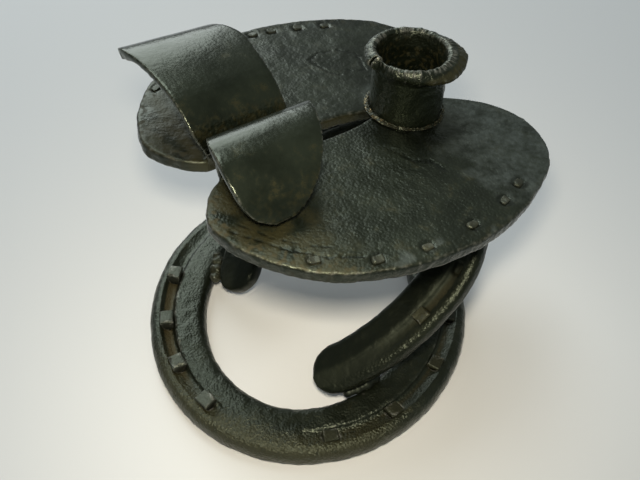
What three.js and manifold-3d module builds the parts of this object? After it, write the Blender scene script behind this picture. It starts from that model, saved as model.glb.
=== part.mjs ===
import * as THREE from 'three';
import * as BufferGeometryUtils from 'three/addons/utils/BufferGeometryUtils.js';
import Module from 'manifold-3d';

// Candlestick forged and welded from worn shoes: one horseshoe lies flat as the foot, a smaller one
// leans on it as the riser, and a pair of ox shoes with curled tongues makes the drip pan and the grip.
// Millimetres, +Z up. The places below are measured from the middle of the flat horseshoe, on the table,
// with its toe towards -Y. At the end the whole is moved so that the origin is under its middle.

const wasm = await Module();
wasm.setup();

// Driving dimensions
const gap = 0.3;

const base = {
  halfWidth: 69, toe: 76.7, heel: 72, innerHalfWidth: 44.8, innerToe: 55.7, innerHeel: 62,
  outerEnd: 57, innerEnd: 47, heelReach: 13, thickness: 10, round: 4,
  groove: { inset: 7.6, width: 6.4, depth: 3.2, draft: 0.9, runs: [[-116, -22], [10, 116]] },
  hole: { across: 4.6, along: 5.4 }, holeAngles: [-88, -67, -47.4, -28, 20.5, 45.4, 70.3, 92],
  stoppedAngles: []
};

const riser = {
  halfWidth: 55.3, toe: 51.5, heel: 84, innerHalfWidth: 35.3, innerToe: 29.5, innerHeel: 64.6,
  outerEnd: 56, innerEnd: 46, heelReach: 13, thickness: 7.6, round: 2.6,
  groove: { inset: 6.6, width: 5.6, depth: 1.8, draft: 1.1, runs: [[-127, -38], [38, 127]] },
  hole: { across: 3.8, along: 4.8 }, holeAngles: [-99],
  stoppedAngles: [-77, -54, 54, 77, 99, 121.5], stoppedDepth: 0.9
};
const riserPlace = { x: 16.3, y: 10.9, z: 50.07, turn: 141.6, slope: 38.7, roll: 1.8 };

const plate = { thickness: 5, heelThickness: 3.2, round: 0.9 };
const plateOutline = [
  [-52, 4.5], [-60.5, 11], [-66.3, 24], [-60, 42], [-43, 60], [-16, 70.5], [14, 72.6], [42, 65.8],
  [62.5, 54], [70.6, 36.5], [65.5, 18.5], [52, 6.2], [34, 0.5], [20, 1.4], [5, 4.2], [-12, 4.6]
];
const platePlace = { x: 3.8, y: 18.8, z: 89.9, turn: 46.7, tiltHeel: 3.6, tiltFar: 1.6 };

// Each tongue: its rise as (out from the split, up) points, and its edges as (way along it, along the shoe)
const tongueThickness = 2.3;
const nearTongue = {
  rise: [[-6.5, -3], [-4.2, 1], [-2.8, 6], [-2.4, 12], [-4.4, 17.4], [-10, 20.4], [-18, 20.3],
    [-26, 16.8], [-31.4, 11.6], [-34.4, 7], [-35.8, 4]],
  heelLift: 0.09,
  toeEdge: [[0, -52], [16, -54], [28, -59.5], [40, -61.3], [50, -60.5], [56, -57.8], [58.6, -55],
    [61, -50.4]],
  heelEdge: [[0, -13], [16, -15], [28, -19.5], [40, -24], [50, -29.7], [56, -35.2], [58.6, -38.4],
    [61, -43.2]]
};
const farTongue = {
  rise: [[6.5, -3], [4.9, 1], [4.4, 6.5], [6.2, 13], [13, 19.3], [22, 22.4], [34, 24],
    [45, 23.4], [51, 20.4], [54, 15.4]],
  heelLift: 0,
  toeEdge: [[0, -50], [10, -54], [17, -57], [35, -59], [48, -60.3], [59, -62], [66, -60.5], [71, -54]],
  heelEdge: [[0, -13], [10, -17], [17, -19.6], [35, -20], [48, -19], [57, -21.5], [65, -27], [71, -36]]
};

// Nails through the ox shoes: how far along each shoe, and how far out from the split between the two
const nearStubs = [[-45.8, 51.8], [-28.2, 61.8], [-10.5, 65.8], [9.7, 65.8], [28.4, 62.8], [39.6, 58.8]];
const farStubs = [[-47.7, 52], [-28, 62.4], [-9, 67.2], [6, 68.4], [15, 67.4], [27, 64.4], [39, 60.6]];
const stub = { across: 3.2, along: 4.6, proud: 0.8 };

// The socket's lip is beaten over to one side: its reach is narrower along its short axis
const socket = {
  x: 28.2, y: 39.2, foot: 86, top: 114.6, bore: 12.1, outer: 14.2, rim: 19.3, lipDrop: 2.6, lipThickness: 2.4,
  longAxis: 9, shortShare: 0.89, overhang: 1.7, dip: 0.6, slitAngle: 217, slitWidth: 1.1
};

// The braze round the socket's foot: its section, as (out from the tube, up from the pan)
const socketBraze = [[0.4, 0], [2.3, 0], [1.9, 0.8], [1, 1.5], [0.4, 1.9], [0.4, 0]];

const rad = THREE.MathUtils.degToRad;

// Materials: blackened iron, browner in the fullers and on the worn parts
function iron(color, roughness) {
  return new THREE.MeshStandardMaterial({ color, roughness, metalness: 0.75 });
}
const colours = {
  base: 0x3b3a34, riser: 0x2c2f2a, plates: 0x565d59, socket: 0x2f322d, nail: 0x4d4a42, stub: 0x6d7371,
  weld: 0x5b4a36
};

// Between three.js geometry and solids for joining and cutting
function toSolid(geometry) {
  const plain = geometry.index ? geometry.clone() : geometry;
  plain.deleteAttribute('normal');
  plain.deleteAttribute('uv');
  const merged = BufferGeometryUtils.mergeVertices(plain, 1e-4);
  return new wasm.Manifold(new wasm.Mesh({
    numProp: 3,
    vertProperties: new Float32Array(merged.attributes.position.array),
    triVerts: new Uint32Array(merged.index.array)
  }));
}

function toGeometry(solid) {
  const mesh = solid.getMesh();
  const geometry = new THREE.BufferGeometry();
  geometry.setAttribute('position', new THREE.BufferAttribute(new Float32Array(mesh.vertProperties), 3));
  geometry.setIndex(new THREE.BufferAttribute(new Uint32Array(mesh.triVerts), 1));
  geometry.computeVertexNormals();
  return geometry;
}

function largestBody(solid) {
  return solid.decompose().reduce((best, body) => (body.volume() > best.volume() ? body : best));
}

function named(name, geometry, color, roughness = 0.6) {
  const mesh = new THREE.Mesh(geometry, iron(color, roughness));
  mesh.name = name;
  return mesh;
}

// A point on a shoe's edge: 0 degrees is the toe, 90 the widest place, more runs on to the heel
function ovalPoint(halfWidth, toe, heel, degrees) {
  const angle = rad(degrees);
  const reach = Math.abs(degrees) <= 90 ? toe : heel;
  return new THREE.Vector2(halfWidth * Math.sin(angle), -reach * Math.cos(angle));
}

function ovalRun(halfWidth, toe, heel, from, to, steps) {
  return Array.from({ length: steps + 1 }, (_, i) =>
    ovalPoint(halfWidth, toe, heel, from + (to - from) * i / steps));
}

// The plan outline of a horseshoe: two ovals, joined by blunt heels that carry on along the branches
function shoeShape(shoe) {
  const outerAngle = 90 + THREE.MathUtils.radToDeg(Math.asin(shoe.outerEnd / shoe.heel));
  const innerAngle = 90 + THREE.MathUtils.radToDeg(Math.asin(shoe.innerEnd / shoe.innerHeel));
  const outer = ovalRun(shoe.halfWidth, shoe.toe, shoe.heel, -outerAngle, outerAngle, 60);
  const inner = ovalRun(shoe.innerHalfWidth, shoe.innerToe, shoe.innerHeel, innerAngle, -innerAngle, 44);
  const onward = (end, before) => end.clone().sub(before).setLength(shoe.heelReach).add(end);
  const outerEnd = outer[outer.length - 1];
  const heel = new THREE.CubicBezierCurve(outerEnd, onward(outerEnd, outer[outer.length - 2]),
    onward(inner[0], inner[1]), inner[0]).getPoints(9).slice(1, -1);
  const otherHeel = heel.map((point) => new THREE.Vector2(-point.x, point.y)).reverse();
  return new THREE.Shape([...outer, ...heel, ...inner, ...otherHeel]);
}

// A rounded slab of the given outline from 0 down to minus the thickness, grown all round when asked
function slab(shape, thickness, round, grow = 0, curveSegments = 10) {
  const geometry = new THREE.ExtrudeGeometry(shape, {
    depth: thickness - 2 * round, steps: 1, curveSegments, bevelEnabled: true, bevelSegments: 4,
    bevelThickness: round + grow, bevelSize: round, bevelOffset: -round + grow
  });
  return geometry.translate(0, 0, round - thickness);
}

// The curved trench that the nail heads sit in, with sloping walls
function grooveSolid(shoe, run) {
  const { inset, width, depth, draft } = shoe.groove;
  const half = width / 2 - draft;
  const [from, to] = run;
  const line = (shift, a, b) => ovalRun(shoe.halfWidth - inset + shift, shoe.toe - inset + shift,
    shoe.heel - inset + shift, a, b, 26);
  const shape = new THREE.Shape([...line(half, from, to), ...line(-half, to, from)]);
  const geometry = new THREE.ExtrudeGeometry(shape, {
    depth, steps: 1, bevelEnabled: true, bevelSegments: 1, bevelThickness: depth, bevelSize: draft
  });
  return toSolid(geometry);
}

// A square-sided turned form: each profile entry is [z, half width], widened to across by along
function squareBar(profile, across, along) {
  const points = profile.map(([z, half]) => new THREE.Vector2(half * Math.SQRT2, z));
  const first = profile[0][0];
  const last = profile[profile.length - 1][0];
  points.unshift(new THREE.Vector2(0, first));
  points.push(new THREE.Vector2(0, last));
  const geometry = new THREE.LatheGeometry(points, 4);
  geometry.rotateX(Math.PI / 2);
  geometry.rotateZ(Math.PI / 4);
  return geometry.scale(across / 2, along / 2, 1);
}

function facing(shoe, degrees) {
  const a = ovalPoint(shoe.halfWidth, shoe.toe, shoe.heel, degrees - 1);
  const b = ovalPoint(shoe.halfWidth, shoe.toe, shoe.heel, degrees + 1);
  return Math.atan2(b.y - a.y, b.x - a.x) - Math.PI / 2;
}

function nailSpot(shoe, degrees) {
  const inset = shoe.groove.inset;
  const spot = ovalPoint(shoe.halfWidth - inset, shoe.toe - inset, shoe.heel - inset, degrees);
  return { spot, turn: facing(shoe, degrees) };
}

// One nail hole, punched down from the top face
function holeSolid(shoe, degrees, depth) {
  const { spot, turn } = nailSpot(shoe, degrees);
  const hole = new THREE.BoxGeometry(shoe.hole.across, shoe.hole.along, 2 * depth);
  hole.rotateZ(turn);
  return toSolid(hole.translate(spot.x, spot.y, 0));
}

// A horseshoe with its fuller and nail holes, top face at z = 0. Scale and dirt stop up the empty holes.
function shoeSolid(shoe) {
  let solid = toSolid(slab(shoeShape(shoe), shoe.thickness, shoe.round));
  for (const run of shoe.groove.runs) {
    solid = solid.subtract(grooveSolid(shoe, run));
  }
  for (const degrees of shoe.holeAngles) {
    solid = solid.subtract(holeSolid(shoe, degrees, shoe.thickness * 1.5));
  }
  for (const degrees of shoe.stoppedAngles) {
    solid = solid.subtract(holeSolid(shoe, degrees, shoe.groove.depth + shoe.stoppedDepth));
  }
  return solid;
}

// A horseshoe nail: a tapered square head in the fuller and a shank down through the hole
function nailGeometry(shoe, degrees, proud, size) {
  const { spot, turn } = nailSpot(shoe, degrees);
  const neck = -shoe.groove.depth + gap;
  const shank = (shoe.hole.across - 2 * gap) / size.across;
  const geometry = squareBar([
    [-shoe.thickness + 0.6, shank * 0.85], [neck, shank], [neck, 0.68], [proud - 1.6, 0.9],
    [proud - 0.6, 0.88], [proud, 0.7]
  ], size.across, size.along);
  geometry.rotateZ(turn);
  return geometry.translate(spot.x, spot.y, 0);
}

// A closed skin over rows of section points, each row a ring of the same number of points
function skin(rows) {
  const count = rows[0].length;
  const triangles = [];
  rows.slice(1).forEach((_, i) => {
    for (let j = 0; j < count; j += 1) {
      const [a, b] = [i * count + j, i * count + (j + 1) % count];
      triangles.push(a, b, b + count, a, b + count, a + count);
    }
  });
  for (let j = 1; j < count - 1; j += 1) {
    const last = (rows.length - 1) * count;
    triangles.push(0, j + 1, j, last, last + j, last + j + 1);
  }
  const geometry = new THREE.BufferGeometry();
  const points = rows.flat(2);
  geometry.setAttribute('position', new THREE.Float32BufferAttribute(points, 3));
  geometry.setIndex(triangles);
  return geometry;
}

// The height of a left-to-right curve above x
function heightOn(curve, x) {
  let [low, high] = [0, 1];
  for (let i = 0; i < 30; i += 1) {
    const middle = (low + high) / 2;
    if (curve.getPoint(middle).x < x) low = middle;
    else high = middle;
  }
  return curve.getPoint(low).y;
}

function planeCurve(points) {
  return new THREE.SplineCurve(points.map(([x, y]) => new THREE.Vector2(x, y)));
}

// A tongue: a thin leaf of even thickness, bent along its rise, from the split edge of its own shoe
function tongueGeometry(tongue) {
  const rise = planeCurve(tongue.rise);
  const toeEdge = planeCurve(tongue.toeEdge);
  const heelEdge = planeCurve(tongue.heelEdge);
  const length = tongue.toeEdge[tongue.toeEdge.length - 1][0];
  const [rowCount, across] = [30, 5];
  const rows = Array.from({ length: rowCount + 1 }, (_, i) => {
    const share = 1 - (1 - i / rowCount) ** 1.25;
    const at = rise.getPointAt(share);
    const along = rise.getTangentAt(share);
    const toeU = heightOn(toeEdge, share * length);
    const heelU = heightOn(heelEdge, share * length);
    const face = (offset) => Array.from({ length: across + 1 }, (_, j) => [
      toeU + (heelU - toeU) * j / across, at.x - along.y * offset,
      at.y * (1 + tongue.heelLift * j / across) + along.x * offset
    ]);
    return [...face(tongueThickness / 2), ...face(-tongueThickness / 2).reverse()];
  });
  return skin(rows);
}

// The plan outline of one ox shoe, on the +V side or the -V side of the split
function plateShape(side) {
  const points = plateOutline.map(([u, v]) => new THREE.Vector2(u, v * side));
  const shape = new THREE.Shape();
  shape.moveTo(points[0].x, points[0].y);
  shape.splineThru(points.slice(1));
  return shape;
}

// The flat of an ox shoe, its underside thinned towards the heel
function plateSlab(side, grow = 0) {
  const geometry = slab(plateShape(side), plate.thickness, plate.round, grow, 5);
  const position = geometry.attributes.position;
  const thin = 1 - plate.heelThickness / plate.thickness;
  for (let i = 0; i < position.count; i += 1) {
    if (position.getZ(i) < 0) {
      const far = THREE.MathUtils.smoothstep(position.getX(i), 20, 70);
      position.setZ(i, position.getZ(i) * (1 - thin * far));
    }
  }
  return geometry;
}

function stubTurn(side, u) {
  return side * -u * 0.0085;
}

function oxShoe(side, tongue, stubs) {
  let solid = toSolid(plateSlab(side)).add(toSolid(tongueGeometry(tongue)));
  for (const [u, v] of stubs) {
    const hole = new THREE.BoxGeometry(stub.along + 2 * gap, stub.across + 2 * gap, plate.thickness * 4);
    hole.rotateZ(stubTurn(side, u));
    hole.translate(u, v * side, 0);
    solid = solid.subtract(toSolid(hole));
  }
  return toGeometry(solid);
}

// The clipped end of a nail that holds its place in an ox shoe
function stubGeometry(side, [u, v]) {
  const lowest = -plate.heelThickness + 0.4;
  const geometry = squareBar([
    [lowest, 0.92], [0, 1], [stub.proud / 2, 0.98], [stub.proud, 0.74]
  ], stub.along, stub.across);
  geometry.rotateZ(stubTurn(side, u));
  return geometry.translate(u, v * side, 0);
}

// The candle socket: a short tube with its lip beaten over outwards, slit where the strip was lapped
function socketGeometry(floor) {
  const { foot, top, bore, outer, rim, lipDrop, lipThickness } = socket;
  const edge = top - lipDrop;
  const under = edge - lipThickness;
  const profile = [
    [bore, foot], [bore, top - 7], [bore + 0.7, top - 3], [bore + 1.2, top - 0.9], [bore + 2.4, top],
    [(bore + rim) / 2 + 1.2, top - 0.7], [rim - 0.4, edge + 0.4], [rim, edge - 0.6], [rim - 0.5, under + 0.4],
    [rim - 1.8, under], [outer + 1.2, under - 0.7], [outer, under - 2.4], [outer, foot], [bore, foot]
  ].map(([r, z]) => new THREE.Vector2(r, z));
  const geometry = new THREE.LatheGeometry(profile.reverse(), 56);
  geometry.rotateX(Math.PI / 2);
  const position = geometry.attributes.position;
  for (let i = 0; i < position.count; i += 1) {
    const x = position.getX(i);
    const y = position.getY(i);
    const angle = Math.atan2(y, x);
    const spread = THREE.MathUtils.smoothstep(Math.hypot(x, y), outer, rim);
    const wave = 1 + spread * (0.012 * Math.sin(5 * angle) + 0.008 * Math.sin(13 * angle));
    position.setXYZ(i, x * wave + spread * socket.overhang, y * wave * (1 - spread * (1 - socket.shortShare)),
      position.getZ(i) + spread * (0.3 * Math.sin(3 * angle + 1) - socket.dip * Math.cos(angle)));
  }
  geometry.rotateZ(rad(socket.longAxis));
  const slit = new THREE.BoxGeometry(rim, socket.slitWidth, 12);
  slit.translate(bore + 1.8 + rim / 2, 0, top - 1);
  slit.rotateZ(rad(socket.slitAngle));
  const tube = toSolid(geometry).subtract(toSolid(slit));
  return toGeometry(toSolid(toGeometry(tube).translate(socket.x, socket.y, 0)).subtract(floor));
}

// A run of weld: overlapping lumps, [x, y, z, radius] each, cut clear of the pieces that it joins
function weldGeometry(lumps, neighbours) {
  let run = lumps.map(([x, y, z, radius]) =>
    toSolid(new THREE.SphereGeometry(radius, 12, 8).translate(x, y, z))).reduce((a, b) => a.add(b));
  for (const neighbour of neighbours) {
    run = run.subtract(neighbour);
  }
  return toGeometry(largestBody(run));
}

// The space a piece takes with its gap all round, where its frame puts it
function cleared(geometry, frame) {
  frame.updateMatrixWorld(true);
  return toSolid(geometry.applyMatrix4(frame.matrixWorld));
}

const candlestick = new THREE.Group();

function frameGroup(x, y, z, rotation = [0, 0, 0, 'XYZ']) {
  const group = new THREE.Group();
  group.position.set(x, y, z);
  group.rotation.set(...rotation);
  candlestick.add(group);
  return group;
}

const footFrame = frameGroup(0, 0, base.thickness);
const riserFrame = frameGroup(riserPlace.x, riserPlace.y, riserPlace.z,
  [-rad(riserPlace.slope), rad(riserPlace.roll), rad(riserPlace.turn), 'ZXY']);
const panFrame = frameGroup(platePlace.x, platePlace.y, platePlace.z,
  [rad(platePlace.tiltFar), rad(platePlace.tiltHeel), rad(platePlace.turn), 'ZYX']);

// Foot: the flat horseshoe, with proud nails on the left branch and worn ones on the right
footFrame.add(named('base_horseshoe', toGeometry(shoeSolid(base)), colours.base, 0.62));
base.holeAngles.forEach((degrees, i) => {
  const worn = degrees > 0;
  const size = worn ? { across: 5.6, along: 6.4 } : { across: 6.1, along: 7.1 };
  const nail = nailGeometry(base, degrees, worn ? 0.6 : 3, size);
  footFrame.add(named(`base_nail_${i + 1}`, nail, colours.nail, 0.5));
});

// Riser: the smaller horseshoe, heels down on the foot, toe up under the drip pan, one nail left in it
riserFrame.add(named('riser_horseshoe', toGeometry(shoeSolid(riser)), colours.riser));
const leftNail = nailGeometry(riser, riser.holeAngles[0], 1.2, { across: 5.2, along: 6 });
riserFrame.add(named('riser_nail', leftNail, colours.nail, 0.5));

// Drip pan: the pair of ox shoes, mirrored about the split, each with its clipped nails
[['near', -1, nearTongue, nearStubs], ['far', 1, farTongue, farStubs]].forEach(([name, side, tongue, stubs]) => {
  panFrame.add(named(`${name}_ox_shoe`, oxShoe(side, tongue, stubs), colours.plates, 0.5));
  stubs.forEach((spot, i) => {
    panFrame.add(named(`${name}_stub_${i + 1}`, stubGeometry(side, spot), colours.stub, 0.45));
  });
});

// Candle socket on the split, its foot cut to the pan's slope
const floor = cleared(new THREE.BoxGeometry(200, 200, 40).translate(0, 0, gap - 20), panFrame);
candlestick.add(named('candle_socket', socketGeometry(floor), colours.socket));

// Welds, each a run of lumps with the pieces that it joins
const baseSpace = cleared(slab(shoeShape(base), base.thickness, base.round, gap), footFrame);
const riserSpace = cleared(slab(shoeShape(riser), riser.thickness, riser.round, gap), riserFrame);
const plateSpaces = [-1, 1].map((side) => cleared(plateSlab(side, gap), panFrame));
const welds = {
  near_heel_weld: [[[25, -44, 8.6, 2.7], [28, -42.2, 9.2, 3.1], [31, -39.8, 10, 3.4],
    [33.6, -36.8, 11, 3]], [baseSpace, riserSpace]],
  far_heel_weld: [[[-43.4, 0.6, 9.4, 2.5], [-43.8, 4, 10.4, 3], [-44.2, 8, 11, 3],
    [-46, 11.4, 11.2, 2.2]], [baseSpace, riserSpace]],
  toe_weld: [[[48.5, 34, 80.4, 3], [45.4, 38, 80.6, 3.5], [42, 41.4, 80.6, 3.6], [38.2, 44.4, 80.8, 3.4]],
    [riserSpace, ...plateSpaces]]
};
Object.entries(welds).forEach(([name, [lumps, neighbours]]) => {
  candlestick.add(named(name, weldGeometry(lumps, neighbours), colours.weld, 0.7));
});
const braze = new THREE.LatheGeometry(socketBraze.map(([out, up]) =>
  new THREE.Vector2(socket.outer + out, up)), 40).rotateX(Math.PI / 2);
const socketFoot = panFrame.worldToLocal(new THREE.Vector3(socket.x, socket.y, platePlace.z));
panFrame.add(named('socket_braze', braze.translate(socketFoot.x, socketFoot.y, gap), colours.weld, 0.7));

// The origin goes under the middle of the whole
const middle = new THREE.Box3().setFromObject(candlestick, true).getCenter(new THREE.Vector3());
candlestick.position.set(-middle.x, -middle.y, 0);

export default candlestick;
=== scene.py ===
import math

import bmesh
import bpy
from mathutils import Matrix, Vector, kdtree, noise


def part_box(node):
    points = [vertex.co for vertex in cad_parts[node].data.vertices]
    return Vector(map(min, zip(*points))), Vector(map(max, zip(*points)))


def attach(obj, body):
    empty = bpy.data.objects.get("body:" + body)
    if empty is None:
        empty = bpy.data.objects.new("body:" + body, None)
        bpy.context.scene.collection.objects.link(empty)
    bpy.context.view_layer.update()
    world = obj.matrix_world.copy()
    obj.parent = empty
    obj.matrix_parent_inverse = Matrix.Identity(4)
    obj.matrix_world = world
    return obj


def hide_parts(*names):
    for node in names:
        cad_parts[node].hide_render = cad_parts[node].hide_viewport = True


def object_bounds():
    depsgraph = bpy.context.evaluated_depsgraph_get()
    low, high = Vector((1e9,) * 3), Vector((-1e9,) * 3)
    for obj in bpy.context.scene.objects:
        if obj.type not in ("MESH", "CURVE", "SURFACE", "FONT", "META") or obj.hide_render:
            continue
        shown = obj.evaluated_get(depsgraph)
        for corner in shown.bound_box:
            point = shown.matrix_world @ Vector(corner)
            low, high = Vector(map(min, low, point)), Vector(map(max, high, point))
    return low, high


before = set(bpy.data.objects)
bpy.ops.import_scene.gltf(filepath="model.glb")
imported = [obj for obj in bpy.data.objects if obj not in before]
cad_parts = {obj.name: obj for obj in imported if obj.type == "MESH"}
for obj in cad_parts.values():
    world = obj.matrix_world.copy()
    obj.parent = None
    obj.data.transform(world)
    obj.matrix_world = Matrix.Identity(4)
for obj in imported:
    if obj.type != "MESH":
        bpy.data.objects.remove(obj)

cad_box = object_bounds()

# The foot: a worn draught-horse shoe that lies flat with its fullered side up. Bar iron, forged and
# hammered round at the edges, blackened all over, with brown rust left on the fuller's floor.
foot_thickness = 0.010
foot_oval = {"half_width": 0.069, "toe": 0.0767, "heel": 0.072}
foot_low, foot_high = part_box("base_horseshoe")
foot_middle = Vector(((foot_low[0] + foot_high[0]) / 2, foot_low[1] + foot_oval["toe"], 0.0))
foot_place = Matrix.Translation(foot_middle + Vector((0.0, 0.0, foot_thickness)))
foot_fuller = {"inset": 0.0076, "half": 0.0032, "depth": 0.0032, "melt": 0.7}
foot_cell = 0.0006
# Dents of three sizes, each as (depth, width)
foot_dents = [(0.0003, 0.014), (0.00022, 0.005), (0.00014, 0.0022)]
# The toe's outer side is pitted and browned: its middle and reach in degrees round, and its depth
toe_pitting = {"middle": -8, "reach": (40, 75), "inward": (0.007, 0.014)}
toe_browning = {"middle": -6, "reach": (35, 65), "inward": (0.005, 0.012)}
# How much of the fuller has silted up, and how rusty its floor is, by degrees round from the toe
foot_fuller_fill = [(-116, 0.75), (-92, 0.45), (-86, 0.05), (-50, 0.1), (-44, 0.5), (-26, 0.75),
                    (10, 0.85), (24, 0.55), (92, 0.5), (116, 0.8)]
foot_fuller_rust = [(-92, 0.1), (-86, 0.9), (-46, 0.8), (-30, 0.5), (10, 0.1), (24, 0.5), (92, 0.5)]


def new_piece(name, mesh):
    piece = bpy.data.objects.new(name, mesh)
    bpy.context.scene.collection.objects.link(piece)
    return piece


def even_skin(node, name, cell, plugs=()):
    """A copy of a solid of the frame, its plugs added, as one closed skin of small, even faces."""
    mesh = bpy.data.meshes.new(name)
    shell = bmesh.new()
    shell.from_mesh(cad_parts[node].data)
    bmesh.ops.remove_doubles(shell, verts=shell.verts, dist=1e-6)
    for place, size in plugs:
        bmesh.ops.create_cube(shell, size=1.0, matrix=place @ Matrix.Diagonal((*size, 1.0)))
    shell.to_mesh(mesh)
    shell.free()
    piece = new_piece(name, mesh)
    remesh = piece.modifiers.new("Even skin", "REMESH")
    remesh.mode = "VOXEL"
    remesh.voxel_size = cell
    graph = bpy.context.evaluated_depsgraph_get()
    piece.data = bpy.data.meshes.new_from_object(piece.evaluated_get(graph))
    piece.modifiers.clear()
    soften(piece, 2)
    return piece


def soften(piece, passes):
    shell = bmesh.new()
    shell.from_mesh(piece.data)
    for _ in range(passes):
        bmesh.ops.smooth_vert(shell, verts=shell.verts, factor=0.5,
                              use_axis_x=True, use_axis_y=True, use_axis_z=True)
    shell.to_mesh(piece.data)
    shell.free()


def reshape(piece, place, move):
    """Moves each point of a skin, as it lies in the piece's own place."""
    back = place.inverted()
    for vertex in piece.data.vertices:
        vertex.co = place @ move(back @ vertex.co)


def hammer(piece, blows, shift=0.0, force=None):
    """Dents a skin along its normals. Each blow is (depth, width) of the lumps that it leaves."""
    vertices = piece.data.vertices
    normals = [vertex.normal.copy() for vertex in vertices]
    for number, (vertex, normal) in enumerate(zip(vertices, normals)):
        at = vertex.co + Vector((shift, 0.0, 0.0))
        lift = sum(depth * noise.noise(at / width) for depth, width in blows)
        vertex.co += normal * lift * (force[number] if force else 1.0)


def mark(piece, name, values):
    """Writes one number on each point of a skin, for its finish to read."""
    layer = piece.data.attributes.new(name, "FLOAT", "POINT")
    layer.data.foreach_set("value", values)


def mark_all(piece, name, value):
    """Writes the same number on every point of a skin."""
    mark(piece, name, [value] * len(piece.data.vertices))


def mark_edges(piece, passes, rise):
    """Marks how far each point stands out of the skin round it: 1 on a worn edge, -1 in a corner."""
    softened = bmesh.new()
    softened.from_mesh(piece.data)
    for _ in range(passes):
        bmesh.ops.smooth_vert(softened, verts=softened.verts, factor=0.5,
                              use_axis_x=True, use_axis_y=True, use_axis_z=True)
    edges = [max(-1.0, min(1.0, (vertex.co - soft.co).dot(vertex.normal) / rise))
             for vertex, soft in zip(piece.data.vertices, softened.verts)]
    softened.free()
    mark(piece, "edge", edges)


def fade(low, high, value):
    """0 at low, 1 at high, and a smooth step between. Low may be the larger of the two."""
    share = max(0.0, min(1.0, (value - low) / (high - low)))
    return share * share * (3.0 - 2.0 * share)


def along(steps, value):
    """A value between (place, value) steps."""
    if value <= steps[0][0]:
        return steps[0][1]
    for (a, first), (b, second) in zip(steps, steps[1:]):
        if value < b:
            return first + (second - first) * fade(a, b, value)
    return steps[-1][1]


def on_shoe(at, oval):
    """Where a point lies on a shoe: degrees round from the toe, and how far in from the rim."""
    reach = oval["toe"] if at.y < 0 else oval["heel"]
    around = math.atan2(at.x / oval["half_width"], -at.y / reach)
    rim = Vector((oval["half_width"] * math.sin(around), -reach * math.cos(around)))
    return math.degrees(around), rim.length - at.xy.length


def silt_fuller(piece, place, oval, fuller, fill, rusty):
    """Raises the fuller's floor where dirt has filled it, melts its outer wall, and marks its rust.
    Across the fuller, -1 is its inner wall and 1 its outer one."""
    wall_slack, floor_slack, under_floor = 1.15, 1.1, 1.6

    def raised(at):
        degrees, inset = on_shoe(at, oval)
        outward = (fuller["inset"] - inset) / fuller["half"]
        if abs(outward) < wall_slack and -fuller["depth"] * floor_slack < at.z < 0.0:
            melted = fuller["melt"] * fade(-0.3, 1.0, outward)
            at.z *= (1.0 - along(fill, degrees)) * (1.0 - melted)
        return at

    reshape(piece, place, raised)
    soften(piece, 3)
    back = place.inverted()
    rust = []
    for vertex in piece.data.vertices:
        at = back @ vertex.co
        degrees, inset = on_shoe(at, oval)
        across = 1.0 - fade(0.3, 0.9, abs(inset - fuller["inset"]) / fuller["half"])
        below = fade(-0.2 * fuller["depth"], -0.6 * fuller["depth"], at.z)
        above_sole = at.z > -fuller["depth"] * under_floor
        rust.append(across * below * along(rusty, degrees) if above_sole else 0.0)
    mark(piece, "rust", rust)


def mark_places(piece, place, oval, name, rule):
    """Marks each point of a shoe by a rule of its degrees from the toe and how far in it lies."""
    back = place.inverted()
    mark(piece, name, [rule(*on_shoe(back @ vertex.co, oval)) for vertex in piece.data.vertices])


def in_patch(patch, degrees, inset):
    """1 inside a patch by the rim of a shoe, fading to 0 away from it."""
    around = 1.0 - fade(*patch["reach"], abs(degrees - patch["middle"]))
    return around * (1.0 - fade(*patch["inward"], inset))


class Wire:
    """One output in a finish's node tree, so that a pattern is written as plain arithmetic."""

    def __init__(self, tree, socket=None):
        self.tree = tree
        self.socket = socket

    def node(self, kind, settings, inputs, output=0):
        made = self.tree.nodes.new(kind)
        for name, value in settings.items():
            setattr(made, name, value)
        for key, value in inputs.items():
            if isinstance(value, Wire):
                self.tree.links.new(value.socket, made.inputs[key])
            else:
                made.inputs[key].default_value = value
        return Wire(self.tree, made.outputs[output])

    def maths(self, operation, first, second):
        return self.node("ShaderNodeMath", {"operation": operation}, {0: first, 1: second})

    def __add__(self, other):
        return self.maths("ADD", self, other)

    def __radd__(self, other):
        return self.maths("ADD", other, self)

    def __sub__(self, other):
        return self.maths("SUBTRACT", self, other)

    def __rsub__(self, other):
        return self.maths("SUBTRACT", other, self)

    def __mul__(self, other):
        return self.maths("MULTIPLY", self, other)

    def __rmul__(self, other):
        return self.maths("MULTIPLY", other, self)

    def between(self, low, high):
        return self.node("ShaderNodeMapRange", {"interpolation_type": "SMOOTHSTEP"},
                         {0: self, 1: low, 2: high, 3: 0.0, 4: 1.0})

    def blend(self, first, second):
        return self.node("ShaderNodeMix", {"data_type": "RGBA"}, {0: self, 6: first, 7: second}, 2)

    def cloud(self, size, detail=3.0, roughness=0.55):
        return self.node("ShaderNodeTexNoise", {}, {
            "Vector": self, "Scale": 1.0 / size, "Detail": detail, "Roughness": roughness})

    def hollows(self, size):
        return self.node("ShaderNodeTexVoronoi", {"feature": "SMOOTH_F1"}, {
            "Vector": self, "Scale": 1.0 / size, "Smoothness": 0.35})

    def attribute(self, name):
        return self.node("ShaderNodeAttribute", {"attribute_name": name}, {}, "Fac")


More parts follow.
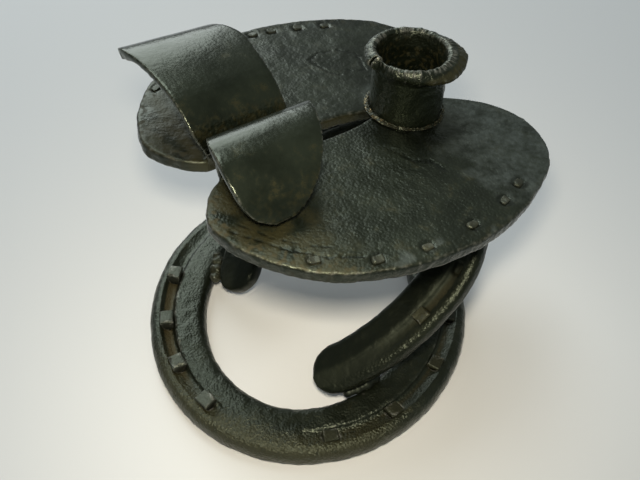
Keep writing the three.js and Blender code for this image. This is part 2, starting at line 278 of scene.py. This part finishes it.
def iron(name, scale, haze, film=(0.020, 0.018, 0.007, 1), bare=(0.22, 0.225, 0.20, 1), gloss=0.25,
         grain=0.0012, depth=0.00017, filmy=0.35, worn=1.0, shine=1.5):
    """Blackened iron with a leathery grain: scale in two tones, a brown film, rust, and soot and painted
    shade where they are marked, and bare metal on its worn edges and where it is rubbed; on the socket's
    lip that bare metal is in part painted glints."""
    material = bpy.data.materials.new(name)
    material.use_nodes = True
    shader = material.node_tree.nodes["Principled BSDF"]
    shader.inputs["IOR"].default_value = shine
    shader.inputs["Specular Tint"].default_value = (0.88, 1.0, 0.78, 1)
    tree = material.node_tree
    place = Wire(tree).node("ShaderNodeTexCoord", {}, {}, "Object")
    clouds = place.cloud(0.018, 5.0, 0.62)
    specks = place.cloud(0.0016, 3.0, 0.7)
    skin = place.cloud(grain * 0.6, 3.0, 0.6)
    hollows = place.hollows(grain)
    edge = place.attribute("edge")
    brown = place.cloud(0.009, 5.0, 0.7).between(0.52, 0.72) * filmy + place.attribute("film")
    brown = (brown * specks.between(0.25, 0.5) + place.attribute("film") * 0.3).between(0.0, 0.9)
    rust = (place.attribute("rust") * (0.45 + specks)).between(0.1, 0.8)
    dust_and_sheen = (place.attribute("dust_and_sheen") * (0.4 + specks)).between(0.2, 0.9)
    soot_and_shade = place.attribute("soot_and_shade")
    pitted = place.attribute("pitted")
    rubbed_and_glints = edge.between(0.3, 0.95) * specks.between(0.4, 0.62) * worn
    rubbed_and_glints = rubbed_and_glints.maths("MAXIMUM", rubbed_and_glints, place.attribute("rubbed_and_glints") * specks.between(0.3, 0.5))
    colour = clouds.between(0.36, 0.64).blend(scale, haze)
    colour = brown.blend(colour, film)
    # Dust, and by the near heel a painted sheen, in pale blue grey
    colour = dust_and_sheen.blend(colour, (0.045, 0.055, 0.053, 1))
    colour = rust.blend(colour, (0.033, 0.025, 0.010, 1))
    # Soot and painted shade, near black
    colour = soot_and_shade.blend(colour, (0.002, 0.0026, 0.0016, 1))
    # Bare metal on worn edges, and on the socket's lip partly painted glints
    colour = rubbed_and_glints.blend(colour, bare)
    height = (skin * 0.8 - hollows) * (0.35 + pitted)
    bump = height.node("ShaderNodeBump", {}, {"Strength": 1.0, "Distance": depth, "Height": height})
    links = {
        "Base Color": colour,
        "Metallic": rubbed_and_glints * 0.8,
        "Roughness": gloss + clouds * 0.16 + brown * 0.12 + rust * 0.3 - soot_and_shade * 0.08
        - place.attribute("polished"),
        "Normal": bump,
    }
    for socket, wire in links.items():
        tree.links.new(wire.socket, shader.inputs[socket])
    return material


def fit(piece, node, material):
    """Trims a piece to the frame's box, gives it its finish, and puts it in its node's place on the
    one rigid body."""
    reshape(piece, Matrix.Identity(4), lambda at: Vector(
        [max(low, min(high, value)) for value, low, high in zip(at, *cad_box)]))
    piece.data.materials.clear()
    piece.data.materials.append(material)
    for face in piece.data.polygons:
        face.use_smooth = True
    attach(piece, "root")
    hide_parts(node)


foot = even_skin("base_horseshoe", "foot_shoe", foot_cell)
silt_fuller(foot, foot_place, foot_oval, foot_fuller, foot_fuller_fill, foot_fuller_rust)
hammer(foot, foot_dents)
mark_edges(foot, 10, 0.0003)
mark_places(foot, foot_place, foot_oval, "pitted",
            lambda degrees, inset: 0.5 + in_patch(toe_pitting, degrees, inset))
mark_places(foot, foot_place, foot_oval, "film",
            lambda degrees, inset: 0.6 * in_patch(toe_browning, degrees, inset))
foot_iron = iron("Foot iron", (0.0037, 0.0045, 0.0024, 1), (0.0076, 0.0095, 0.0063, 1), gloss=0.24,
                 grain=0.0010, depth=0.00018)
fit(foot, "base_horseshoe", foot_iron)

# The foot's nails: square-headed horseshoe nails left in their holes, the four on the left branch
# standing proud, the four on the right worn and beaten down. Drawn iron, rubbed on top.
foot_nail_angles = (-88, -67, -47.4, -28, 20.5, 45.4, 70.3, 92)
standing_nail = {"proud": 0.0024, "across": 0.0061, "length": 0.0071, "film": 0.1, "soot_and_shade": 0.0}
beaten_nail = {"proud": 0.0003, "across": 0.0056, "length": 0.0064, "film": 0.6, "soot_and_shade": 0.5}
nail_dents = [(0.0004, 0.0035), (0.00015, 0.0012)]
nail_shank_end = 0.0006
nail_wear, nail_edge_rise = 0.00028, 0.00022


def square_bar(name, steps, across, length, worn, place):
    """A square bar drawn up through (height, share of its width) steps, with worn corners."""
    bar = bmesh.new()
    bmesh.ops.create_cube(bar, size=1.0)
    for vertex in bar.verts:
        height, share = steps[1] if vertex.co.z > 0 else steps[0]
        vertex.co = Vector((vertex.co.x * share * across, vertex.co.y * share * length, height))
    for height, share in steps[2:]:
        top = max(bar.faces, key=lambda face: face.calc_center_median().z)
        size = max(vertex.co.x for vertex in top.verts) * 2 / across
        risen = bmesh.ops.extrude_face_region(bar, geom=[top])["geom"]
        bmesh.ops.delete(bar, geom=[top], context="FACES_ONLY")
        for vertex in (part for part in risen if isinstance(part, bmesh.types.BMVert)):
            vertex.co = Vector((vertex.co.x * share / size, vertex.co.y * share / size, height))
    bmesh.ops.bevel(bar, geom=bar.edges, offset=worn, segments=2, profile=0.5, affect="EDGES",
                    material=-1, clamp_overlap=True)
    bmesh.ops.subdivide_edges(bar, edges=bar.edges, cuts=3, use_grid_fill=True)
    bmesh.ops.recalc_face_normals(bar, faces=bar.faces)
    bmesh.ops.transform(bar, matrix=place, verts=bar.verts)
    mesh = bpy.data.meshes.new(name)
    bar.to_mesh(mesh)
    bar.free()
    return new_piece(name, mesh)


def on_oval(oval, inset, degrees):
    """A point on a shoe, that far in from the rim: 0 degrees at the toe, 90 at the widest place."""
    reach = oval["toe"] if abs(degrees) <= 90 else oval["heel"]
    angle = math.radians(degrees)
    return Vector(((oval["half_width"] - inset) * math.sin(angle), -(reach - inset) * math.cos(angle), 0.0))


def nail_place(shoe_place, oval, inset, degrees):
    """Where a nail stands in its shoe: on the fuller's line, turned along it."""
    ahead = on_oval(oval, 0.0, degrees + 1) - on_oval(oval, 0.0, degrees - 1)
    turn = math.atan2(ahead.y, ahead.x) - math.pi / 2
    return shoe_place @ Matrix.Translation(on_oval(oval, inset, degrees)) @ Matrix.Rotation(turn, 4, "Z")


nail_iron = iron("Nail iron", (0.012, 0.0135, 0.010, 1), (0.030, 0.033, 0.028, 1), gloss=0.30,
                 grain=0.0009, depth=0.00025, filmy=0.6)
for count, degrees in enumerate(foot_nail_angles, 1):
    head = standing_nail if degrees < 0 else beaten_nail
    proud = head["proud"]
    place = nail_place(foot_place, foot_oval, foot_fuller["inset"], degrees)
    nail = square_bar(f"foot_nail_{count}", [
        (nail_shank_end - foot_thickness, 0.56), (-0.0029, 0.66), (-0.0028, 0.72), (proud - 0.0016, 0.92),
        (proud - 0.0005, 0.94), (proud, 0.84)
    ], head["across"], head["length"], nail_wear, place)
    hammer(nail, nail_dents, 0.01 * count)
    mark_edges(nail, 6, nail_edge_rise)
    mark_all(nail, "film", head["film"])
    mark_all(nail, "soot_and_shade", head["soot_and_shade"])
    fit(nail, f"base_nail_{count}", nail_iron)

# The riser: a smaller horseshoe that leans on the foot, its heels welded to the foot's inner edge and
# its toe under the pan. Forged iron, its fuller rusty, with one nail left in the branch that shows.
riser_thickness = 0.0076
riser_oval = {"half_width": 0.0553, "toe": 0.0515, "heel": 0.084}
riser_place = (Matrix.Translation(foot_middle + Vector((0.0163, 0.0109, 0.05007)))
               @ Matrix.Rotation(math.radians(141.6), 4, "Z")
               @ Matrix.Rotation(math.radians(-38.7), 4, "X")
               @ Matrix.Rotation(math.radians(1.8), 4, "Y"))
riser_fuller = {"inset": 0.0066, "half": 0.0028, "depth": 0.0018, "melt": 0.3}
riser_fuller_fill = [(-122, 0.9), (-108, 0.55), (-94, 0.3), (-60, 0.5), (-38, 0.7), (38, 0.7),
                     (60, 0.3), (127, 0.5)]
riser_fuller_rust = [(-120, 0.1), (-108, 0.3), (-90, 0.4), (-75, 0.2)]
riser_nail_angle = -99
# How far in from the rim its pitted edge ends, its duller fuller band begins and ends, and it grows darker
riser_pitted_to = (0.003, 0.006)
riser_band_from, riser_band_to = (0.0025, 0.005), (0.009, 0.012)
riser_darker_from = (0.009, 0.013)
riser = even_skin("riser_horseshoe", "riser_shoe", 0.00055)
silt_fuller(riser, riser_place, riser_oval, riser_fuller, riser_fuller_fill, riser_fuller_rust)
hammer(riser, [(0.00025, 0.011), (0.00016, 0.0042), (0.0001, 0.002)], 0.3)
mark_edges(riser, 10, 0.0003)
mark_places(riser, riser_place, riser_oval, "pitted",
            lambda degrees, inset: 0.6 * (1.0 - fade(*riser_pitted_to, inset)))
mark_places(riser, riser_place, riser_oval, "polished", lambda degrees, inset: (
    -0.22 * fade(*riser_band_from, inset) * (1.0 - fade(*riser_band_to, inset))))
# The riser is marked darker towards its inner edge
mark_places(riser, riser_place, riser_oval, "soot_and_shade",
            lambda degrees, inset: 0.8 * fade(*riser_darker_from, inset))
riser_iron = iron("Riser iron", (0.0035, 0.0043, 0.0022, 1), (0.0061, 0.0076, 0.004, 1), gloss=0.31,
                  shine=1.38, worn=0.1)
fit(riser, "riser_horseshoe", riser_iron)

riser_nail_across, riser_nail_length = 0.0052, 0.006
riser_nail_place = nail_place(riser_place, riser_oval, riser_fuller["inset"], riser_nail_angle)
riser_nail = square_bar("riser_nail_left", [
    (nail_shank_end - riser_thickness, 0.52), (-0.0016, 0.6), (-0.0015, 0.7), (-0.0004, 0.92),
    (0.0006, 0.94), (0.0011, 0.82)
], riser_nail_across, riser_nail_length, nail_wear, riser_nail_place)
hammer(riser_nail, [(0.0004, 0.003), (0.00015, 0.0012)])
mark_edges(riser_nail, 6, nail_edge_rise)
mark_all(riser_nail, "film", 0.5)
fit(riser_nail, "riser_nail", nail_iron)

# The welds: lumpy runs that hold the riser's heels to the foot and its toe under the pan. Filler iron,
# beaded, browner and brighter than the shoes. The one at the near heel is dressed smooth and darkened as
# painted shade where the riser meets the foot.
weld_iron = iron("Weld iron", (0.012, 0.012, 0.008, 1), (0.030, 0.031, 0.025, 1), gloss=0.27,
                 grain=0.0009, depth=0.0002, filmy=0.8)
weld_cell = 0.00032
for end in ("near_heel", "far_heel", "toe"):
    bead = even_skin(f"{end}_weld", f"{end}_bead", weld_cell)
    dressed = end == "near_heel"
    if dressed:
        soften(bead, 10)
    else:
        hammer(bead, [(0.0006, 0.0028), (0.00025, 0.0012)])
    mark_edges(bead, 8, 0.0002)
    mark_all(bead, "film", 0.0 if dressed else 0.4)
    # The near heel's weld is darkened as painted shade where the riser meets the foot
    mark_all(bead, "soot_and_shade", 0.9 if dressed else 0.0)
    mark_all(bead, "polished", -0.2 if dressed else 0.0)
    fit(bead, f"{end}_weld", weld_iron)

# The drip pan: a pair of thin ox shoes side by side, a split between them. Each has a tongue in one
# piece with it, drawn up at the toe and curled over as a grip. Plate iron with a scaled, waxed skin.
pan_place = (Matrix.Translation(foot_middle + Vector((0.0038, 0.0188, 0.0899)))
             @ Matrix.Rotation(math.radians(46.7), 4, "Z")
             @ Matrix.Rotation(math.radians(3.6), 4, "Y")
             @ Matrix.Rotation(math.radians(1.6), 4, "X"))
socket_middle = foot_middle + Vector((0.0282, 0.0392, 0.090))
clipped_nails = {
    "near": [(-45.8, 51.8), (-28.2, 61.8), (-10.5, 65.8), (9.7, 65.8), (28.4, 62.8), (39.6, 58.8)],
    "far": [(-47.7, 52), (-28, 62.4), (-9, 67.2), (6, 68.4), (15, 67.4), (27, 64.4), (39, 60.6)],
}
far_tongue_tip = Vector((-0.0605, 0.0495, 0.0205))
# Creases and cracks in the pan's skin, each a line of (along, out from the split) in millimetres, with
# its half width and depth: a lap below the socket, cracks along the front rim, a lifted scale patch
pan_cracks = {
    "near": [
        ([(9.8, -21.5), (11.9, -25.9), (13.6, -31.3), (19.3, -33.2), (20.5, -40.1)], 1.8, 0.2),
        ([(-62, -28), (-57, -35), (-50, -44.5), (-41, -53), (-31, -58.5)], 0.8, 0.4),
        ([(-58, -27), (-52.5, -36.5), (-46, -44), (-38, -50)], 0.6, 0.3),
    ],
    "far": [
        ([(17.3, 41), (23, 43.6), (32.2, 42), (37.6, 36.4), (36.5, 31.3), (33.8, 24.4), (27.6, 27),
          (22.1, 26.2), (18, 33), (17.3, 41)], 1.3, 0.15),
        ([(37.6, 36.4), (43, 28), (46, 18)], 1.1, 0.13),
    ],
}
# Where an ox shoe's wear and its painted shade and sheen begin and end. Heights over the plate are in
# metres, the rest in millimetres
tongue_rises, tongue_foot, tongue_crest = (0.0012, 0.003), (0.008, 0.018), (0.012, 0.019)
rim_band, rim_patches, ragged_rim = (2.0, 7.5), (4.0, 11.0), 1.0
left_end, heel_end = (-50.0, -18.0), (8.0, 42.0)
socket_shade, socket_halo = (13.0, 33.0), (15.0, 25.0)
nail_ring, nail_ring_radius = (0.3, 1.1), 2.5
split_face = (0.005, 0.01)
crack_lip = 0.08
coarse_lumps, fine_lumps = 7.0, 2.3
tip_roll, tip_reach = 0.0024, (0.002, 0.014)


def nail_spot(side, spot):
    """Where a clipped nail comes through an ox shoe, turned with the rim."""
    rim_turn = 0.0085
    out, away = spot
    return (pan_place @ Matrix.Translation(Vector((out, away * side, 0.0)) / 1000)
            @ Matrix.Rotation(side * -out * rim_turn, 4, "Z"))


def from_line(at, line):
    """How far a place on the pan is from a line of points, in millimetres."""
    spot = Vector((at.x, at.y)) * 1000
    gaps = []
    for start, end in zip(line, line[1:]):
        start, run = Vector(start), Vector(end) - Vector(start)
        share = max(0.0, min(1.0, (spot - start).dot(run) / run.length_squared))
        gaps.append((spot - start - run * share).length)
    return min(gaps)


def thicken_tip(piece):
    """Rolls the tip of the far tongue under, so that it ends in a thick, blunt lip."""
    back, pan_turn = pan_place.inverted(), pan_place.to_3x3()
    under = pan_turn @ Vector((0.35, 0.1, -1.0)).normalized()
    turns = [vertex.normal.copy() for vertex in piece.data.vertices]
    for vertex, turn in zip(piece.data.vertices, turns):
        near_tip = 1.0 - fade(*tip_reach, (back @ vertex.co - far_tongue_tip).length)
        vertex.co += under * tip_roll * near_tip * fade(-0.3, 0.5, turn.dot(under))


def scale_pan(piece, side, nails, cracks, shift):
    """Works an ox shoe's skin: cracks and laps, a ragged rim, and marks for its grain, dirt, painted shade
    and painted sheen. Gives how hard each point may be hammered, less on the tongue than on the plate."""
    back = pan_place.inverted()
    vertices = piece.data.vertices
    spots = [back @ vertex.co for vertex in vertices]
    pan_turn = pan_place.to_3x3()
    turns = [pan_turn.transposed() @ vertex.normal for vertex in vertices]
    clear_of_split = 0.011
    walls = [number for number, (at, turn) in enumerate(zip(spots, turns))
             if abs(turn.z) < 0.5 and at.z < 0.0 and abs(at.y) > clear_of_split]
    rim = kdtree.KDTree(len(walls))
    for number in walls:
        rim.insert((spots[number].x, spots[number].y, 0.0), number)
    rim.balance()
    far = 1.0 if side > 0 else 0.0
    marks = {name: [] for name in ("film", "soot_and_shade", "rust", "pitted", "dust_and_sheen", "polished")}
    for vertex, at, turn in zip(vertices, spots, turns):
        seed = at * 1000 + Vector((shift, 0.0, 0.0))
        inset = rim.find((at.x, at.y, 0.0))[2] * 1000
        on_plate = 1.0 - fade(*tongue_rises, at.z)
        on_tongue = 1.0 - on_plate
        rough = noise.noise(seed / coarse_lumps)
        fine = noise.noise(seed / fine_lumps)
        dirt = 0.0
        if turn.z > 0.4 and on_plate > 0.0:
            for line, half, depth in cracks:
                away = from_line(at, line) + 1.1 * fine + 0.5 * rough
                if away < half * 3:
                    cut = (1.0 - fade(0.0, half, away)) * on_plate
                    lip = (1.0 - fade(half * 0.5, half * 2.5, away)) * on_plate
                    vertex.co += pan_turn @ turn * (crack_lip * lip - depth * cut) / 1000
                    dirt = max(dirt, cut)
        outward = Vector((turn.x, turn.y, 0.0))
        if outward.length > 0.6 and on_plate > 0.0 and inset < ragged_rim:
            ragged = 0.3 * noise.noise(seed / 6.0) + 0.22 * noise.noise(seed / 2.2)
            vertex.co += pan_turn @ outward.normalized() * ragged / 1000
        # Where the point lies: at the left end, by the heel, near the rim, the split, the socket or a nail
        along_shoe = at.x * 1000
        left = 1.0 - fade(*left_end, along_shoe + 8.0 * rough)
        by_heel = fade(*heel_end, along_shoe + 10.0 * rough) * (1.0 - 0.6 * far)
        upward = fade(0.3, 0.7, abs(turn.z))
        band = (1.0 - fade(*rim_band, inset + 3.5 * rough)) * on_plate
        # On the far tongue its foot is painted dark as the near tongue's shadow
        low = 1.0 - fade(*tongue_foot, at.z + 0.001 * rough)
        below_crest = 1.0 - fade(*tongue_crest, at.z)
        on_split = far * (1.0 - upward) * (1.0 - fade(*split_face, abs(at.y))) * on_plate
        # on_side is the plates' side faces, painted darker as shade
        on_side = (1.0 - upward) * (1.0 - on_split) * on_plate
        from_socket = (vertex.co - socket_middle).xy
        to_socket = from_socket.length * 1000
        in_front = fade(-0.2, 0.7, -from_socket.y / from_socket.length)
        # Painted shade and a painted reflection of the socket on the plate in front of it
        shaded = (1.0 - fade(*socket_shade, to_socket + 8.0 * rough)) * (0.25 + 0.75 * in_front)
        halo = (1.0 - fade(*socket_halo, to_socket + 5.0 * rough)) * (1.0 - in_front)
        to_nail = min((Vector((at.x, abs(at.y))) * 1000 - Vector(spot)).length for spot in nails)
        ringed = (1.0 - fade(*nail_ring, abs(to_nail - nail_ring_radius))) * on_plate
        # What it has taken on there, and the shade and sheen painted on it
        mottled = 0.5 + 1.2 * noise.noise(seed / 1.4) + 0.8 * noise.noise(seed / 4.0)
        brown_rim = band * (0.25 + 0.5 * far) * fade(-0.1, 0.4, fine + rough) * upward
        brown_end = left * on_plate * (0.3 + 0.7 * upward) * (0.55 + rough)
        brown_tongue = (0.25 + 0.45 * far) * below_crest * mottled * on_tongue
        patches = fade(0.1, 0.45, rough) * (1.0 - fade(*rim_patches, inset)) * (1.0 - left)
        # By the heel this is partly a painted sheen; the patches and the halo are dust
        dust_and_heel_sheen = max(by_heel * (0.62 + 0.25 * rough + 0.25 * fine), 0.7 * patches, 0.8 * halo)
        marks["film"].append(min(1.0, 0.9 * on_split + brown_rim + brown_end + brown_tongue))
        # Soot and shade: dirt in the cracks and round the nails, a darker far rim band, and painted shade
        # in front of the socket, on the side faces and on the far tongue's foot
        marks["soot_and_shade"].append(max(0.95 * shaded * on_plate, 0.8 * dirt, 0.7 * ringed, 0.5 * far * band,
                                 0.75 * on_side, 0.9 * far * low * on_tongue))
        marks["rust"].append(0.6 * band * left * fade(0.0, 0.3, fine))
        marks["pitted"].append((0.38 - 0.33 * far) * on_plate + on_tongue * (0.9 * far * below_crest - 0.2))
        marks["dust_and_sheen"].append(on_plate * dust_and_heel_sheen if turn.z > 0.6 else 0.0)
        marks["polished"].append(0.12 * on_tongue)
    for name, values in marks.items():
        mark(piece, name, values)
    return [1.0 - 0.7 * fade(0.001, 0.004, at.z) for at in spots]


pan_iron = iron("Pan iron", (0.004, 0.0053, 0.003, 1), (0.0097, 0.0126, 0.0083, 1), gloss=0.26,
                grain=0.0012, depth=0.00018, filmy=0.6, worn=0.3)
# Each nail hole is filled flush round its nail by a plug, so far down and of this size
plug_drop, plug_size = -0.0021, (0.0062, 0.0048, 0.0034)
for side_name, side in (("near", -1), ("far", 1)):
    plugs = [(nail_spot(side, spot) @ Matrix.Translation((0.0, 0.0, plug_drop)), plug_size)
             for spot in clipped_nails[side_name]]
    shoe = even_skin(f"{side_name}_ox_shoe", f"{side_name}_ox_shoe_forged", 0.00052, plugs)
    if side_name == "far":
        thicken_tip(shoe)
    force = scale_pan(shoe, side, clipped_nails[side_name], pan_cracks[side_name], side * 40.0)
    hammer(shoe, [(0.00028, 0.013), (0.00012, 0.0044), (0.00008, 0.002)], side * 0.2, force)
    mark_edges(shoe, 8, 0.00024)
    fit(shoe, f"{side_name}_ox_shoe", pan_iron)

# The nails of the ox shoes: drawn iron, driven through the plate near its rim, clipped short, beaten
# nearly flat and rubbed.
stub_along, stub_across = 0.0047, 0.0035


def knock_in_corners(at):
    """Draws the corners of a clipped nail in, so that its end is nearly round."""
    corner = min(1.0, 4.0 * abs(at.x * at.y) / (stub_along * stub_across))
    return Vector((at.x * (1.0 - 0.3 * corner), at.y * (1.0 - 0.3 * corner), at.z))


stub_iron = iron("Stub iron", (0.012, 0.014, 0.011, 1), (0.055, 0.060, 0.053, 1), gloss=0.30,
                 grain=0.0008, depth=0.0002, filmy=0.5, worn=0.35)
for side_name, side in (("near", -1), ("far", 1)):
    for count, spot in enumerate(clipped_nails[side_name], 1):
        stub = square_bar(f"{side_name}_clipped_nail_{count}", [
            (-0.0028, 0.8), (-0.0004, 0.92), (0.0, 1.02), (0.0003, 1.0), (0.0006, 0.74)
        ], stub_along, stub_across, 0.0005, nail_spot(side, spot))
        reshape(stub, nail_spot(side, spot), knock_in_corners)
        soften(stub, 4)
        hammer(stub, [(0.0006, 0.003), (0.0002, 0.0011)], 0.01 * count * side)
        mark_edges(stub, 5, 0.00018)
        mark_all(stub, "film", 0.25)
        fit(stub, f"{side_name}_stub_{count}", stub_iron)

# The candle socket: a strip rolled into a short tube, lapped at the left, its lip beaten over
# outwards. A ring of braze, brassy where it shows, holds its foot to both ox shoes.
socket_iron = iron("Socket iron", (0.0033, 0.0047, 0.0022, 1), (0.0066, 0.0086, 0.0049, 1), gloss=0.26,
                   grain=0.0010, depth=0.0002)
socket = even_skin("candle_socket", "socket_tube", 0.0004)
lip_height, tube_radius, lip_radius, lap_angle = 0.1085, 0.0142, 0.0193, 221.5
# Coming to the lap the lip stands out and up, and past it the lip is drawn in and down
before_lap, past_lap = (185, 214), (228, 265)
lap_out, lap_up, lap_in, lap_down = 0.0010, 0.0006, 0.0018, 0.0007
lip_nicks = 0.0005
socket_turns = [vertex.normal.copy() for vertex in socket.data.vertices]
lip_wear_and_glints, brown = [], []
for vertex, turn in zip(socket.data.vertices, socket_turns):
    from_axis = vertex.co - socket_middle
    round_axis = Vector((from_axis.x, from_axis.y, 0.0)).normalized()
    radius = from_axis.xy.length
    over_tube = fade(tube_radius * 0.88, tube_radius * 0.98, radius)
    on_lip = over_tube * fade(lip_height - 0.002, lip_height, vertex.co.z)
    nick = noise.noise(round_axis * 5.0) * 0.7 + noise.noise(round_axis * 14.0) * 0.4
    vertex.co += turn * lip_nicks * nick * on_lip
    degrees = math.degrees(math.atan2(from_axis.y, from_axis.x)) % 360
    spread_lip = on_lip * fade(tube_radius * 0.95, lip_radius * 0.9, radius)
    before = fade(*before_lap, degrees) if degrees < lap_angle else 0.0
    past = 1.0 - fade(*past_lap, degrees) if degrees >= lap_angle else 0.0
    vertex.co += round_axis * (lap_out * before - lap_in * past) * spread_lip
    vertex.co.z += (lap_up * before - lap_down * past) * on_lip
    streak = fade(-0.1, 0.35, noise.noise(round_axis * 26.0 + Vector((0.0, 0.0, 400.0 * radius))))
    inner_band = 1.0 - fade(lip_radius * 0.79, lip_radius * 0.88, radius)
    # Bare metal on the lip's upward inner band: partly real wear, partly painted glints of light
    lip_wear_and_glints.append(on_lip * inner_band * fade(0.1, 0.6, turn.z) * streak * 0.8)
    bore_wall = 1.0 - fade(tube_radius * 0.85, tube_radius * 0.95, radius)
    inside = bore_wall * fade(0.0, 0.4, noise.noise(vertex.co * 650.0))
    brown.append(max(inside * 0.6, fade(lip_radius * 0.86, lip_radius * 0.97, radius)))
mark(socket, "rubbed_and_glints", lip_wear_and_glints)
mark(socket, "film", brown)
mark_all(socket, "pitted", 0.4)
hammer(socket, [(0.0003, 0.006), (0.0002, 0.0026), (0.0001, 0.0014)])
mark_edges(socket, 10, 0.00026)
fit(socket, "candle_socket", socket_iron)

braze_metal = iron("Braze", (0.0052, 0.0065, 0.0035, 1), (0.014, 0.013, 0.008, 1),
                   bare=(0.20, 0.165, 0.10, 1), gloss=0.28, grain=0.0009, depth=0.0002, worn=0.2)
braze = even_skin("socket_braze", "socket_foot_braze", 0.00028)
braze_turns = [vertex.normal.copy() for vertex in braze.data.vertices]
# Most braze shows at the front left. It lies back elsewhere, by up to this much
braze_middle, braze_reach = math.radians(-150), (20, 70)
braze_back, braze_stands = 0.0007, 0.0004
brassy = []
for vertex, turn in zip(braze.data.vertices, braze_turns):
    from_axis = vertex.co - socket_middle
    turned = math.atan2(from_axis.y, from_axis.x) - braze_middle
    away = math.degrees(abs((turned + math.pi) % math.tau - math.pi))
    shown = 1.0 - fade(*braze_reach, away)
    vertex.co -= turn * (braze_back - braze_stands * shown)
    brassy.append((0.1 + 0.7 * shown) * fade(0.1, 0.45, noise.noise(vertex.co * 620.0)))
mark(braze, "rubbed_and_glints", brassy)
hammer(braze, [(0.0006, 0.0022), (0.0004, 0.001)])
mark_edges(braze, 6, 0.0002)
fit(braze, "socket_braze", braze_metal)

# The table that it stands on, plain and pale.
table_mesh = bpy.data.meshes.new("table_top")
top = bmesh.new()
bmesh.ops.create_grid(top, x_segments=1, y_segments=1, size=3.0)
top.to_mesh(table_mesh)
top.free()
table = new_piece("table_top", table_mesh)
table_paint = bpy.data.materials.new("Pale table")
table_paint.use_nodes = True
table_shader = table_paint.node_tree.nodes["Principled BSDF"]
table_shader.inputs["Base Color"].default_value = (0.655, 0.665, 0.67, 1.0)
table_shader.inputs["Roughness"].default_value = 0.7
table_mesh.materials.append(table_paint)

# Light: two wide soft boxes at the back left, one overhead and one lower, a small warm one by the
# camera, and a dim, cool room.
object_middle = Vector((0.0, 0.0, 0.06))


def soft_box(name, where, aim, size, power, colour, spread=math.pi):
    lamp = bpy.data.lights.new(name, "AREA")
    lamp.shape = "SQUARE"
    lamp.size = size
    lamp.energy = power
    lamp.color = colour
    lamp.spread = spread
    lit = bpy.data.objects.new(name, lamp)
    lit.location = where
    lit.rotation_mode = "QUATERNION"
    lit.rotation_quaternion = (aim - where).to_track_quat("-Z", "Y")
    bpy.context.scene.collection.objects.link(lit)


soft_box("Overhead box", Vector((-0.45, 0.62, 1.75)), object_middle, 0.8, 11.0, (0.93, 0.99, 1.0))
soft_box("Low back box", Vector((-0.92, 1.25, 0.95)), object_middle, 1.1, 13.0, (0.93, 0.99, 1.0))
soft_box("Camera box", foot_middle + Vector((0.026, -0.175, 0.28)), Vector((0.0, -0.02, 0.0)), 0.03, 0.205,
         (1.0, 0.9, 0.72), 1.45)
world = bpy.data.worlds.new("Room")
bpy.context.scene.world = world
world.use_nodes = True
world.node_tree.nodes["Background"].inputs["Color"].default_value = (0.92, 1.0, 0.98, 1.0)
world.node_tree.nodes["Background"].inputs["Strength"].default_value = 0.19

# The camera, where the photograph was taken from.
view_from = foot_middle + Vector((0.03547, -0.19546, 0.2604))
view_turn, view_down, view_roll = 0.16286, 0.82480, 0.04528
lens_data = bpy.data.cameras.new("Camera")
lens_data.sensor_width = 36.0
lens_data.lens = 40.55
lens_data.clip_start = 0.01
lens_data.clip_end = 20.0
camera = bpy.data.objects.new("Camera", lens_data)
camera.matrix_world = (Matrix.Translation(view_from)
                       @ Matrix.Rotation(view_turn, 4, "Z")
                       @ Matrix.Rotation(math.pi / 2 - view_down, 4, "X")
                       @ Matrix.Rotation(view_roll, 4, "Z"))
bpy.context.scene.collection.objects.link(camera)
bpy.context.scene.camera = camera
bpy.context.scene.view_settings.view_transform = "Standard"
